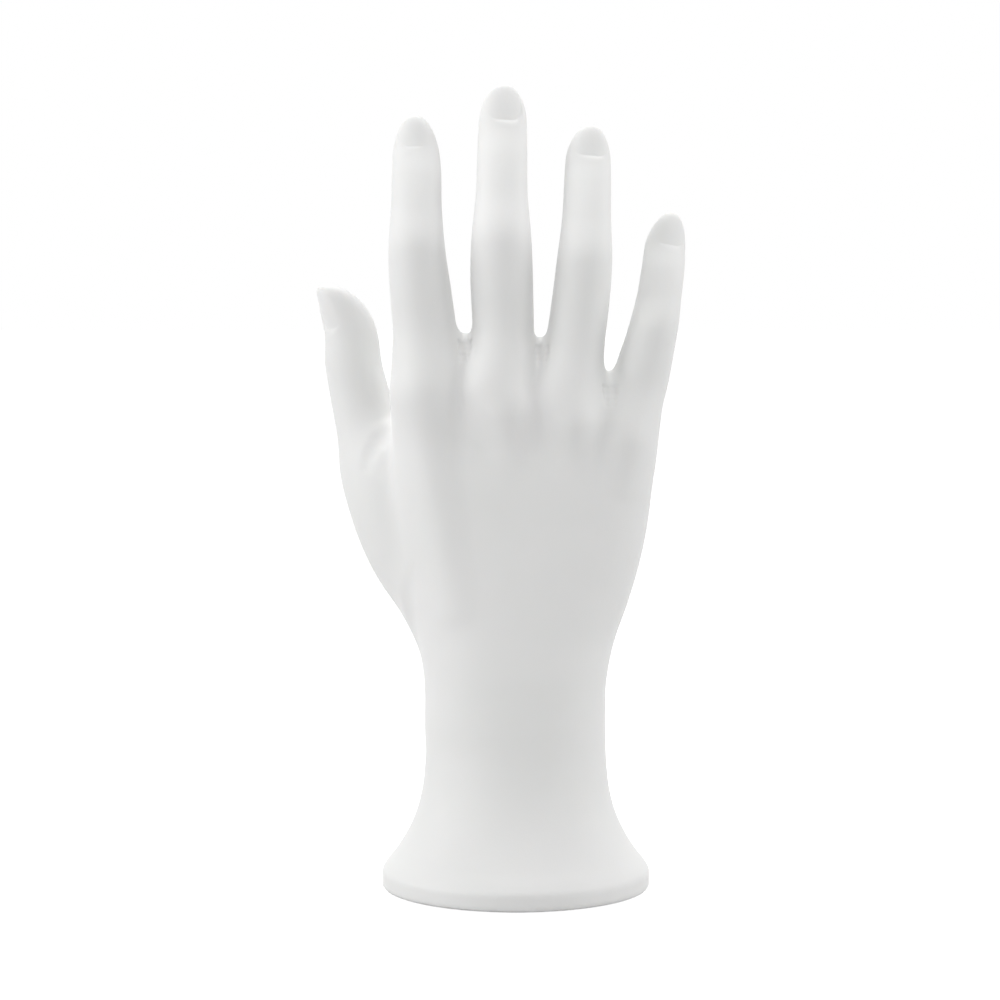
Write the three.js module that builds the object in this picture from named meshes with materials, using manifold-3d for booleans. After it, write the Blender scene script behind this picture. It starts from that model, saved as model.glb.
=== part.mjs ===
// Jewellery display stand: a right hand with its fingers up, on a round flared foot.
// Millimetres, +Z up. The origin is the centre of the foot on the surface it stands on.
// The back of the hand faces -Y, the palm faces +Y and the thumb points to -X.
import * as THREE from 'three';
import { mergeVertices } from 'three/addons/utils/BufferGeometryUtils.js';
import Module from 'manifold-3d';

const STAND_HEIGHT = 150;

// Foot and wrist
const FOOT_DIAMETER = 50;
const RIM_HEIGHT = 3.4;
const FLARE_HEIGHT = 20.5;
const WRIST_WIDTH = 33.8;
const WRIST_DEPTH = 25.2;
const WRIST_TOP = 39;

// Palm
const PALM_WIDTH = 48;
const PALM_DEPTH = 14.8;
const PALM_CROWN = 11.5;
const PALM_REACH = 4.1;
const THUMB_PAD_BULGE = 7.6;
const HEEL_BULGE = 6.6;
const RIDGE_RADIUS = 5;
const WEB_SIZE = [4.4, 4.6, 9];

// Fingers: width just below the middle joint, then the heights taken by the three bones
const INDEX_WIDTH = 10.85;
const INDEX_BONES = [25.3, 14.4, 10.8];
const MIDDLE_WIDTH = 11.5;
const MIDDLE_BONES = [27.3, 16.4, 13.1];
const RING_WIDTH = 10.6;
const RING_BONES = [25.8, 15, 10.4];
const LITTLE_WIDTH = 9.5;
const LITTLE_BONES = [17.3, 11.5, 10.2];

// Knuckles: the middle finger's is on the knuckle line, the others above or below it
const KNUCKLE_LINE = STAND_HEIGHT - MIDDLE_BONES.reduce((sum, bone) => sum + bone);
const PALM_HEIGHT = KNUCKLE_LINE - WRIST_TOP;
const INDEX_KNUCKLE_RISE = 0.6;
const RING_KNUCKLE_DROP = 2;
const LITTLE_KNUCKLE_DROP = 6;
const FINGER_ROOT = 15.5;

// Thumb: width at its base, height of its tip above the knuckle line
const THUMB_WIDTH = 15;
const THUMB_RISE = 19.6;

// Nails
const NAIL_ROUNDING = 6.2;
const NAIL_LENGTH_ROUNDING = 40;
const NAIL_CUT_DEPTH = 3;
const NAIL_WALL_SLOPE = 0.9;

// Widths of the fillets between the forms
const WEB_FILLET = 2.5;
const THUMB_PAD_FILLET = 9;
const HEEL_FILLET = 7;
const RIDGE_FILLET = 2.6;
const FINGER_FILLET = 1.6;
const KNUCKLE_FILLET = 3.5;
const THUMB_FILLET = 5.2;
const ROOT_FILLET = 5;

// Non-slip pad under the foot
const PAD_DIAMETER = 46;
const PAD_THICKNESS = 1.2;
const PAD_RECESS = 0.8;
const PAD_CLEARANCE = 0.3;
const PAD_SIDES = 64;
const FOOT_BOTTOM = PAD_THICKNESS - PAD_RECESS;

// How square a level section is: 2 is an ellipse, more is squarer
const PALM_SQUARENESS = 2.35;
const THUMB_SQUARENESS = 2.1;
const NAIL_SQUARENESS = 3;

// The hand is shaped a little past the underside of the foot, which is then cut flat.
const TRIM = 1;

// Surface mesh: spacing across, and up the hand in bands that end at the given share of the height
const CELL = 2.25;
const BANDS = [
  { upTo: 0.05, cells: 0.72 },
  { upTo: 0.17, cells: 1.2 },
  { upTo: 0.36, cells: 1.9 },
  { upTo: 0.5, cells: 1.4 },
  { upTo: 0.73, cells: 1.02 },
  { upTo: 0.78, cells: 1.3 },
  { upTo: 0.85, cells: 1.05 },
  { upTo: 0.9, cells: 1.3 },
  { upTo: 1.1, cells: 0.75 },
];
const RELAX_PASSES = 4;
const SETTLE_PASSES = 4;
const SLOPE_STEP = 0.05;

// Smooth maths

const mix = (a, b, t) => a + (b - a) * t;

const clamp01 = (t) => Math.min(1, Math.max(0, t));

function smoothStep(from, to, value) {
  const t = clamp01((value - from) / (to - from));
  return t * t * (3 - 2 * t);
}

// The lesser of two distances, blended over a width: joins two bodies with a soft fillet.
function blendJoin(a, b, width) {
  const h = clamp01(0.5 + 0.5 * (b - a) / width);
  return mix(b, a, h) - width * h * (1 - h);
}

// The greater of two distances, blended over a width: keeps what both bodies share.
function blendKeep(a, b, width) {
  return -blendJoin(-a, -b, width);
}

// A limb is a stack of level ovals joined by a smooth curve, with a rounded crown where it ends.
// Each row is [height, centre x, centre y, width, depth].
class Limb {
  constructor(rows, crownHeight = 0, top = rows[rows.length - 1][0]) {
    this.rows = rows;
    this.crownHeight = crownHeight;
    this.top = top;
    this.tangents = rows.map((row, i) => row.map((value, column) => this.tangent(i, column)));
  }

  tangent(i, column) {
    const slope = (a, b) => (b[column] - a[column]) / (b[0] - a[0]);
    const [before, here, after] = [this.rows[i - 1], this.rows[i], this.rows[i + 1]];
    if (!before) return slope(here, after);
    if (!after) return slope(before, here);
    const below = slope(before, here);
    const above = slope(here, after);
    if (below * above <= 0) return 0;
    const low = here[0] - before[0];
    const high = after[0] - here[0];
    return (below * high + above * low) / (low + high);
  }

  // Centre, half width and half depth at a height.
  oval(z) {
    const rows = this.rows;
    const height = Math.min(rows[rows.length - 1][0], Math.max(rows[0][0], z));
    let i = 0;
    while (i < rows.length - 2 && height >= rows[i + 1][0]) i += 1;
    const span = rows[i + 1][0] - rows[i][0];
    const t = (height - rows[i][0]) / span;
    const read = (column) => {
      const [from, to] = [rows[i][column], rows[i + 1][column]];
      const [leave, arrive] = [this.tangents[i][column] * span, this.tangents[i + 1][column] * span];
      const rise = t * t * (3 - 2 * t);
      return from + (to - from) * rise + leave * t * (1 - t) ** 2 - arrive * t * t * (1 - t);
    };
    return [read(1), read(2), read(3) / 2, read(4) / 2];
  }

  // Signed distance, near enough close to the surface.
  distance(x, y, z, squareness = 2) {
    const [centreX, centreY, halfWidth, halfDepth] = this.oval(z);
    const offsets = [Math.abs(x - centreX), Math.abs(y - centreY)];
    const sizes = [halfWidth, halfDepth];
    if (this.crownHeight > 0) {
      offsets.push(Math.max(0, z - this.top + this.crownHeight));
      sizes.push(this.crownHeight);
    }
    let sum = 1e-12;
    let steep = 0;
    offsets.forEach((offset, k) => {
      const term = (offset / sizes[k]) ** squareness;
      sum += term;
      steep += (term / (offset + 1e-6)) ** 2;
    });
    const size = sum ** (1 / squareness);
    return (size - 1) / (Math.sqrt(steep) * size ** (1 - squareness) + 1e-9);
  }

  // The same, faded out below the limb's first row.
  rootedDistance(x, y, z, squareness = 2) {
    return blendKeep(this.distance(x, y, z, squareness), this.rows[0][0] - z, ROOT_FILLET);
  }

  tip() {
    const [, x, y] = this.rows[this.rows.length - 1];
    return new THREE.Vector3(x, y, this.top);
  }
}

// Signed distance to an ellipsoid whose long axis tilts towards +X and leans towards +Y.
class Mound {
  constructor(centre, radii, tilt = 0, lean = 0) {
    const [t, l] = [THREE.MathUtils.degToRad(tilt), THREE.MathUtils.degToRad(lean)];
    this.centre = centre;
    this.radii = radii;
    const along = new THREE.Vector3(Math.sin(t) * Math.cos(l), Math.sin(l), Math.cos(t) * Math.cos(l));
    const side = new THREE.Vector3(Math.cos(t), 0, -Math.sin(t));
    this.axes = [side, new THREE.Vector3().crossVectors(along, side), along];
  }

  distance(x, y, z) {
    const offset = new THREE.Vector3(x, y, z).sub(this.centre);
    let near = 1e-9;
    let steep = 1e-9;
    this.axes.forEach((axis, k) => {
      const q = offset.dot(axis) / this.radii[k];
      near += q * q;
      steep += (q / this.radii[k]) ** 2;
    });
    return Math.sqrt(near) * (Math.sqrt(near) - 1) / Math.sqrt(steep);
  }
}

// Signed distance to a round-ended bar that tapers from one ball to another.
class Bar {
  constructor(start, end, radii) {
    this.start = start;
    this.along = end.clone().sub(start);
    this.radii = radii;
  }

  distance(x, y, z) {
    const offset = new THREE.Vector3(x, y, z).sub(this.start);
    const t = clamp01(offset.dot(this.along) / this.along.lengthSq());
    const [near, far] = this.radii;
    return offset.addScaledVector(this.along, -t).length() - RIDGE_RADIUS * mix(near, far, t);
  }
}

// Foot, wrist and palm

// [share of the flare's height, share of the way from wrist to foot]
const FLARE_CURVE = [
  [0, 1],
  [0.058, 0.93],
  [0.176, 0.7],
  [0.351, 0.425],
  [0.537, 0.215],
  [0.722, 0.09],
  [1, 0.005],
];

// [share from wrist top to knuckle line, centre x and y, share of the way from wrist to palm in width and
// in depth]. From here on x is in shares of half the palm's width and y in shares of the palm's depth.
const PALM_CURVE = [
  [-0.14, -0.006, 0, 0, 0],
  [0, -0.004, 0.007, 0.014, 0],
  [0.14, 0.004, 0.014, 0.19, 0.08],
  [0.276, 0.029, -0.014, 0.455, 0.23],
  [0.417, 0.054, -0.068, 0.68, 0.42],
  [0.555, 0.06, -0.122, 0.86, 0.6],
  [0.69, 0.058, -0.162, 0.975, 0.73],
  [0.83, 0.056, -0.165, 1.01, 0.86],
  [1, 0.058, -0.135, 0.985, 1],
];

const acrossPalm = (share) => share * PALM_WIDTH / 2;

const throughPalm = (share) => share * PALM_DEPTH;

const upPalm = (share) => mix(WRIST_TOP, KNUCKLE_LINE, share);

function palmPoint([x, y, z]) {
  return new THREE.Vector3(acrossPalm(x), throughPalm(y), upPalm(z));
}

function bodyRows() {
  const rows = [[FOOT_BOTTOM - RIM_HEIGHT, 0, 0, FOOT_DIAMETER, FOOT_DIAMETER]];
  FLARE_CURVE.forEach(([rise, spread]) => {
    const width = mix(WRIST_WIDTH, FOOT_DIAMETER, spread);
    const depth = mix(WRIST_DEPTH, FOOT_DIAMETER, spread);
    rows.push([RIM_HEIGHT + rise * FLARE_HEIGHT, 0, 0, width, depth]);
  });
  PALM_CURVE.forEach(([rise, x, y, wide, deep]) => {
    const width = mix(WRIST_WIDTH, PALM_WIDTH, wide);
    const depth = mix(WRIST_DEPTH, PALM_DEPTH, deep);
    rows.push([upPalm(rise), acrossPalm(x), throughPalm(y), width, depth]);
  });
  return rows;
}

// Fingers

// Sections are taken at two heights inside the palm, at the knuckle, twice along the first bone, at the
// middle joint, along the second bone, at the end joint, along the last bone and at the tip. Widths,
// depths and the height of the rounded tip are in shares of the finger's width.
function fingerLimb({ knuckle, bones, girth, x, y, width, depth, crown }) {
  const [first, second, last] = bones;
  const middleJoint = knuckle + first;
  const endJoint = middleJoint + second;
  const heights = [
    knuckle - FINGER_ROOT,
    knuckle - FINGER_ROOT / 2,
    knuckle,
    knuckle + 0.43 * first,
    knuckle + 0.73 * first,
    middleJoint,
    middleJoint + 0.57 * second,
    endJoint,
    endJoint + 0.45 * last,
    endJoint + last,
  ];
  const row = (z, i) => [z, acrossPalm(x[i]), throughPalm(y[i]), girth * width[i], girth * depth[i]];
  return new Limb(heights.map(row), crown * girth);
}

const INDEX = fingerLimb({
  knuckle: KNUCKLE_LINE + INDEX_KNUCKLE_RISE,
  bones: INDEX_BONES,
  girth: INDEX_WIDTH,
  x: [-0.525, -0.6, -0.662, -0.7, -0.733, -0.758, -0.765, -0.766, -0.774, -0.782],
  y: [0.027, -0.108, -0.196, -0.216, -0.264, -0.297, -0.081, 0.132, 0.324, 0.338],
  width: [1.014, 1.235, 1.281, 1.088, 1.04, 0.965, 0.862, 0.84, 0.785, 0.73],
  depth: [0.829, 1.419, 1.659, 1.051, 1.014, 0.977, 0.857, 0.783, 0.728, 0.627],
  crown: 0.728,
});

const MIDDLE = fingerLimb({
  knuckle: KNUCKLE_LINE,
  bones: MIDDLE_BONES,
  girth: MIDDLE_WIDTH,
  x: [-0.12, -0.155, -0.17, -0.1, -0.11, -0.113, -0.11, -0.106, -0.102, -0.098],
  y: [0.027, -0.128, -0.23, -0.243, -0.304, -0.338, -0.081, 0.169, 0.419, 0.466],
  width: [0.9, 1.22, 1.36, 0.984, 1, 0.965, 0.828, 0.805, 0.785, 0.774],
  depth: [0.783, 1.35, 1.62, 1.043, 0.974, 0.939, 0.8, 0.73, 0.67, 0.574],
  crown: 0.66,
});

const RING = fingerLimb({
  knuckle: KNUCKLE_LINE - RING_KNUCKLE_DROP,
  bones: RING_BONES,
  girth: RING_WIDTH,
  x: [0.27, 0.32, 0.345, 0.45, 0.494, 0.521, 0.542, 0.553, 0.56, 0.575],
  y: [0.027, -0.108, -0.203, -0.223, -0.267, -0.297, -0.054, 0.196, 0.385, 0.399],
  width: [0.95, 1.28, 1.42, 1.045, 1.005, 0.965, 0.85, 0.82, 0.79, 0.76],
  depth: [0.811, 1.36, 1.63, 1.113, 1.019, 0.981, 0.868, 0.802, 0.736, 0.642],
  crown: 0.68,
});

const LITTLE = fingerLimb({
  knuckle: KNUCKLE_LINE - LITTLE_KNUCKLE_DROP,
  bones: LITTLE_BONES,
  girth: LITTLE_WIDTH,
  x: [0.708, 0.783, 0.842, 0.944, 0.998, 1.046, 1.102, 1.135, 1.157, 1.2],
  y: [0.054, -0.054, -0.115, -0.149, -0.203, -0.236, -0.074, 0.088, 0.277, 0.291],
  width: [0.947, 1.2, 1.263, 1.147, 1.064, 0.98, 0.87, 0.84, 0.79, 0.73],
  depth: [0.8, 1.389, 1.6, 1.158, 1.053, 0.989, 0.884, 0.821, 0.758, 0.653],
  crown: 0.726,
});

const FINGERS = [INDEX, MIDDLE, RING, LITTLE];

// The thumb rises from the heel of the hand and bends back at its tip: [share from wrist top to thumb tip,
// centre x and y, then width and depth in shares of the thumb's width].
const THUMB_CURVE = [
  [0.041, -0.333, 0.068, 0.533, 0.6],
  [0.122, -0.483, 0.149, 0.76, 0.84],
  [0.205, -0.642, 0.284, 0.92, 1],
  [0.308, -0.808, 0.405, 0.967, 1.04],
  [0.409, -0.95, 0.5, 1, 1.013],
  [0.509, -1.069, 0.561, 0.96, 0.96],
  [0.611, -1.144, 0.595, 0.82, 0.827],
  [0.705, -1.21, 0.622, 0.773, 0.773],
  [0.799, -1.271, 0.59, 0.715, 0.76],
  [0.881, -1.293, 0.53, 0.67, 0.693],
  [0.928, -1.346, 0.48, 0.683, 0.653],
  [1, -1.46, 0.36, 0.77, 0.573],
];
const THUMB_CROWN = 0.52;

const THUMB = new Limb(THUMB_CURVE.map(([rise, x, y, width, depth]) => [
  mix(WRIST_TOP, KNUCKLE_LINE + THUMB_RISE, rise),
  acrossPalm(x),
  throughPalm(y),
  THUMB_WIDTH * width,
  THUMB_WIDTH * depth,
]), THUMB_CROWN * THUMB_WIDTH);

// Webs between neighbouring fingers: [x, y, share of the middle finger's first bone up to the web's top]
const WEBS = [
  [-0.408, -0.041, 0.377],
  [0.183, -0.041, 0.344],
  [0.7, 0.014, 0.081],
].map(([x, y, rise]) => {
  const top = KNUCKLE_LINE + rise * MIDDLE_BONES[0];
  return new Mound(new THREE.Vector3(acrossPalm(x), throughPalm(y), top - WEB_SIZE[2]), WEB_SIZE);
});

// The web of skin between the thumb and the palm
const THUMB_WEB_SIZE = [acrossPalm(0.36), 0.4 * PALM_DEPTH, 0.28 * PALM_HEIGHT];
const THUMB_WEB = new Mound(palmPoint([-0.83, 0.235, 0.59]), THUMB_WEB_SIZE, -10);

// Fleshy base of the thumb and heel of the hand on the palm side
const THUMB_PAD_SIZE = [acrossPalm(0.417), THUMB_PAD_BULGE, 0.369 * PALM_HEIGHT];
const THUMB_PAD = new Mound(palmPoint([-0.542, 0.514, 0.461]), THUMB_PAD_SIZE, -24, 5);
const HEEL_SIZE = [acrossPalm(0.358), HEEL_BULGE, 0.387 * PALM_HEIGHT];
const HEEL = new Mound(palmPoint([0.442, 0.351, 0.48]), HEEL_SIZE, 7, -2);

// Ridges over the bones in the back of the hand: each runs from its knuckle to where it sinks away, with
// its radius there and there in shares of the ridge radius.
const RIDGES = [
  { knuckle: [-0.717, -0.392, 0.978], end: [-0.417, -0.351, 0.277], radii: [1.04, 0.92] },
  { knuckle: [-0.06, -0.601, 0.941], end: [-0.04, -0.4, 0.74], radii: [0.84, 0.74] },
  { knuckle: [0.44, -0.568, 0.904], end: [0.42, -0.385, 0.72], radii: [0.78, 0.7] },
  { knuckle: [0.833, -0.446, 0.839], end: [0.79, -0.35, 0.7], radii: [0.72, 0.64] },
].map(({ knuckle, end, radii }) => new Bar(palmPoint(knuckle), palmPoint(end), radii));

// The wrist is a plain oval, and the palm above it is squarer.
const PALM_STARTS = RIM_HEIGHT + 0.8 * FLARE_HEIGHT;
const PALM_IS_FULL = 1.15 * WRIST_TOP;

const BODY = new Limb(bodyRows());
const PALM = new Limb(bodyRows(), PALM_CROWN, KNUCKLE_LINE + PALM_REACH);

function handDistance(x, y, z) {
  const toPalm = smoothStep(PALM_STARTS, PALM_IS_FULL, z);
  let distance = mix(BODY.distance(x, y, z), PALM.distance(x, y, z, PALM_SQUARENESS), toPalm);
  const join = (form, fillet) => {
    distance = blendJoin(distance, form.distance(x, y, z), fillet);
  };
  [...WEBS, THUMB_WEB].forEach((web) => join(web, WEB_FILLET));
  join(THUMB_PAD, THUMB_PAD_FILLET);
  join(HEEL, HEEL_FILLET);
  RIDGES.forEach((ridge) => join(ridge, RIDGE_FILLET));
  const fingers = FINGERS.map((finger) => finger.rootedDistance(x, y, z))
    .reduce((all, finger) => blendJoin(all, finger, FINGER_FILLET));
  distance = blendJoin(distance, fingers, KNUCKLE_FILLET);
  distance = blendJoin(distance, THUMB.rootedDistance(x, y, z, THUMB_SQUARENESS), THUMB_FILLET);
  return blendKeep(distance, FOOT_BOTTOM - TRIM - z, TRIM / 2);
}

// A box round the hand, with room for the fillets and for whole cells outside the surface.
function handBounds() {
  const bounds = new THREE.Box3();
  [BODY, THUMB, ...FINGERS].forEach((limb) => {
    limb.rows.forEach(([z, x, y, width, depth]) => {
      bounds.expandByPoint(new THREE.Vector3(x - width / 2, y - depth / 2, z));
      bounds.expandByPoint(new THREE.Vector3(x + width / 2, y + depth / 2, z));
    });
  });
  bounds.expandByVector(new THREE.Vector3(2 * CELL, 2 * CELL, 0));
  bounds.min.z = FOOT_BOTTOM - 3 * TRIM;
  return bounds;
}

// Surface mesh of the hand

function evenSteps(from, to, step) {
  const count = Math.ceil((to - from) / step);
  return Array.from({ length: count + 1 }, (_, i) => from + (to - from) * i / count);
}

function heightLevels(bottom, tip) {
  const levels = [bottom];
  BANDS.forEach(({ upTo, cells }) => {
    const from = levels[levels.length - 1];
    const step = cells * CELL;
    const to = Math.max(from + step, tip * upTo);
    levels.push(...evenSteps(from, to, step).slice(1));
  });
  return levels;
}

// Samples of the distance on a grid, with lookups for corners and cells.
class Grid {
  constructor(xs, ys, zs, distance) {
    this.axes = [xs, ys, zs];
    this.counts = this.axes.map((axis) => axis.length);
    this.values = new Float64Array(xs.length * ys.length * zs.length);
    this.forEachCorner((i, j, k) => {
      this.values[this.corner(i, j, k)] = distance(xs[i], ys[j], zs[k]);
    });
    this.separateTouchingSheets();
  }

  corner(i, j, k) {
    return (k * this.counts[1] + j) * this.counts[0] + i;
  }

  inside(i, j, k) {
    return this.values[this.corner(i, j, k)] < 0;
  }

  forEachCorner(visit, trim = 0) {
    const [nx, ny, nz] = this.counts;
    for (let k = 0; k < nz - trim; k += 1) {
      for (let j = 0; j < ny - trim; j += 1) {
        for (let i = 0; i < nx - trim; i += 1) visit(i, j, k);
      }
    }
  }

  fill(corners) {
    corners.forEach(([i, j, k]) => {
      const c = this.corner(i, j, k);
      this.values[c] = Math.min(this.values[c], -0.05);
    });
  }

  // Fills corners where two sheets of the surface would meet at one edge or one point.
  separateTouchingSheets() {
    let changed = true;
    while (changed) {
      changed = false;
      this.forEachCorner((i, j, k) => {
        const cube = [0, 1, 2, 3, 4, 5, 6, 7].map((n) => [i + (n & 1), j + ((n >> 1) & 1), k + (n >> 2)]);
        const solid = cube.map((c) => this.inside(...c));
        const faces = [
          [0, 1, 3, 2], [4, 5, 7, 6], [0, 1, 5, 4],
          [2, 3, 7, 6], [0, 2, 6, 4], [1, 3, 7, 5],
        ];
        const crossed = faces.find(([a, b, c, d]) => solid[a] === solid[c] && solid[b] === solid[d]
          && solid[a] !== solid[b]);
        const solids = solid.filter(Boolean).length;
        const pinched = [0, 1, 2, 3].some((n) => solid[n] === solid[7 - n]
          && (solids === 2 ? solid[n] : solids === 6 && !solid[n]));
        if (crossed || pinched) {
          this.fill(crossed ? crossed.map((n) => cube[n]) : cube);
          changed = true;
        }
      }, 1);
    }
  }
}

// One vertex in each cell that the surface passes through, at the mean of its edge crossings.
function cellVertices(grid) {
  const vertices = [];
  const numbers = new Map();
  grid.forEachCorner((i, j, k) => {
    const sum = new THREE.Vector3();
    let crossings = 0;
    for (let axis = 0; axis < 3; axis += 1) {
      for (let side = 0; side < 4; side += 1) {
        const from = [i, j, k];
        from[(axis + 1) % 3] += side & 1;
        from[(axis + 2) % 3] += side >> 1;
        const to = [...from];
        to[axis] += 1;
        const a = grid.values[grid.corner(...from)];
        const b = grid.values[grid.corner(...to)];
        if ((a < 0) !== (b < 0)) {
          const start = new THREE.Vector3(...from.map((n, m) => grid.axes[m][n]));
          const end = new THREE.Vector3(...to.map((n, m) => grid.axes[m][n]));
          sum.add(start.lerp(end, a / (a - b)));
          crossings += 1;
        }
      }
    }
    if (crossings > 0) {
      numbers.set(grid.corner(i, j, k), vertices.length);
      vertices.push(sum.divideScalar(crossings));
    }
  }, 1);
  return { vertices, numbers };
}

// Moves a vertex along the slope of the distance until it lies on the surface.
function settle(vertex, distance, reach) {
  const home = vertex.clone();
  const h = SLOPE_STEP;
  for (let pass = 0; pass < SETTLE_PASSES; pass += 1) {
    const { x, y, z } = vertex;
    const here = distance(x, y, z);
    const slope = new THREE.Vector3(
      distance(x + h, y, z) - distance(x - h, y, z),
      distance(x, y + h, z) - distance(x, y - h, z),
      distance(x, y, z + h) - distance(x, y, z - h),
    ).divideScalar(2 * h);
    vertex.addScaledVector(slope, -here / Math.max(0.05, slope.lengthSq()));
    const moved = vertex.clone().sub(home).clampLength(0, reach);
    vertex.copy(home).add(moved);
  }
}

// Evens out the mesh: each vertex moves towards the mean of its neighbours and back onto the surface.
function relax(vertices, quads, distance) {
  const neighbours = vertices.map(() => new Set());
  quads.forEach((quad) => {
    quad.forEach((vertex, n) => {
      neighbours[vertex].add(quad[(n + 1) % 4]);
      neighbours[vertex].add(quad[(n + 3) % 4]);
    });
  });
  const means = neighbours.map((near) => {
    const mean = new THREE.Vector3();
    near.forEach((n) => mean.add(vertices[n]));
    return mean.divideScalar(near.size);
  });
  vertices.forEach((vertex, n) => {
    vertex.lerp(means[n], 0.5);
    settle(vertex, distance, CELL / 3);
  });
}

// Four-sided faces round each grid edge that the surface crosses, split along the diagonal whose middle
// lies nearer the surface.
function surfaceMesh(distance, { min, max }) {
  const grid = new Grid(
    evenSteps(min.x, max.x, CELL),
    evenSteps(min.y, max.y, CELL),
    heightLevels(min.z, max.z),
    distance,
  );
  const { vertices, numbers } = cellVertices(grid);
  vertices.forEach((vertex) => settle(vertex, distance, CELL / 3));
  const quads = [];
  grid.forEachCorner((i, j, k) => {
    if (i === 0 || j === 0 || k === 0) return;
    for (let axis = 0; axis < 3; axis += 1) {
      const next = [i, j, k];
      next[axis] += 1;
      const solid = grid.inside(i, j, k);
      if (solid === grid.inside(...next)) continue;
      const around = [[1, 1], [0, 1], [0, 0], [1, 0]].map(([du, dv]) => {
        const cell = [i, j, k];
        cell[(axis + 1) % 3] -= du;
        cell[(axis + 2) % 3] -= dv;
        return numbers.get(grid.corner(...cell));
      });
      quads.push(solid ? around : around.reverse());
    }
  }, 1);
  for (let pass = 0; pass < RELAX_PASSES; pass += 1) relax(vertices, quads, distance);
  const triangles = quads.flatMap(([a, b, c, d]) => {
    const gap = (from, to) => {
      const middle = vertices[from].clone().lerp(vertices[to], 0.5);
      return Math.abs(distance(middle.x, middle.y, middle.z));
    };
    return gap(a, c) < gap(b, d) ? [a, b, c, a, c, d] : [a, b, d, b, c, d];
  });
  return { vertices, triangles };
}

// Solids for joining and cutting

const wasm = await Module();
wasm.setup();

function solidFromMesh({ vertices, triangles }) {
  const vertProperties = new Float32Array(vertices.flatMap((v) => [v.x, v.y, v.z]));
  const triVerts = new Uint32Array(triangles);
  return new wasm.Manifold(new wasm.Mesh({ numProp: 3, vertProperties, triVerts }));
}

function solidFromGeometry(geometry) {
  const bare = geometry.clone();
  bare.deleteAttribute('normal');
  bare.deleteAttribute('uv');
  const merged = mergeVertices(bare, 1e-4);
  const vertProperties = new Float32Array(merged.attributes.position.array);
  const triVerts = new Uint32Array(merged.index.array);
  return new wasm.Manifold(new wasm.Mesh({ numProp: 3, vertProperties, triVerts }));
}

function geometryFromSolid(solid) {
  const { numProp, vertProperties, triVerts } = solid.getMesh();
  const positions = new Float32Array(triVerts.length * 3);
  triVerts.forEach((vertex, i) => {
    for (let k = 0; k < 3; k += 1) positions[3 * i + k] = vertProperties[numProp * vertex + k];
  });
  const geometry = new THREE.BufferGeometry();
  geometry.setAttribute('position', new THREE.BufferAttribute(positions, 3));
  geometry.computeVertexNormals();
  return geometry;
}

function disc(diameter, bottom, height) {
  const geometry = new THREE.CylinderGeometry(diameter / 2, diameter / 2, height, PAD_SIDES);
  geometry.rotateX(Math.PI / 2);
  geometry.translate(0, 0, bottom + height / 2);
  return geometry;
}

// Nails

// Base is the middle of the cuticle, from the middle of the limb's tip. Roll turns the nail round the
// finger towards +X, lean tips its end towards the palm and slant towards +X, in degrees. Base, half
// width and length are in shares of the limb's width.
const NAILS = [
  {
    limb: INDEX,
    girth: INDEX_WIDTH,
    base: [0.01, -0.375, -0.544],
    turn: { roll: -5, lean: 21, slant: -2 },
    half: 0.25,
    length: 0.691,
  },
  {
    limb: MIDDLE,
    girth: MIDDLE_WIDTH,
    base: [0.03, -0.348, -0.591],
    turn: { roll: 10, lean: 21, slant: 1 },
    half: 0.265,
    length: 0.722,
  },
  {
    limb: RING,
    girth: RING_WIDTH,
    base: [0.019, -0.358, -0.547],
    turn: { roll: 9, lean: 21, slant: 2 },
    half: 0.283,
    length: 0.698,
  },
  {
    limb: LITTLE,
    girth: LITTLE_WIDTH,
    base: [-0.032, -0.389, -0.632],
    turn: { roll: 16, lean: 21, slant: 8 },
    half: 0.274,
    length: 0.779,
  },
  {
    limb: THUMB,
    girth: THUMB_WIDTH,
    base: [0.02, -0.02, -0.56],
    turn: { roll: -64, lean: -8, slant: -20 },
    half: 0.247,
    length: 0.66,
  },
];

// Half circles at the cuticle end and straight sides past the fingertip: [across, along]
const CUTICLE_SHARE = 0.42;
const CUTICLE_STEPS = 12;
const NAIL_OVERRUN = 2;

function nailOutline(half, length) {
  const round = CUTICLE_SHARE * length;
  const outline = [];
  for (let i = 0; i <= CUTICLE_STEPS; i += 1) {
    const angle = Math.PI * (1 + i / CUTICLE_STEPS);
    const [c, q] = [Math.cos(angle), Math.sin(angle)];
    const reach = (Math.abs(c) ** NAIL_SQUARENESS + Math.abs(q) ** NAIL_SQUARENESS) ** (-1 / NAIL_SQUARENESS);
    outline.push([half * c * reach, round * (1 + q * reach)]);
  }
  const end = length + NAIL_OVERRUN;
  outline.push([half, 0.75 * length], [half, end], [0, end], [-half, end], [-half, 0.75 * length]);
  return outline;
}

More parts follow.
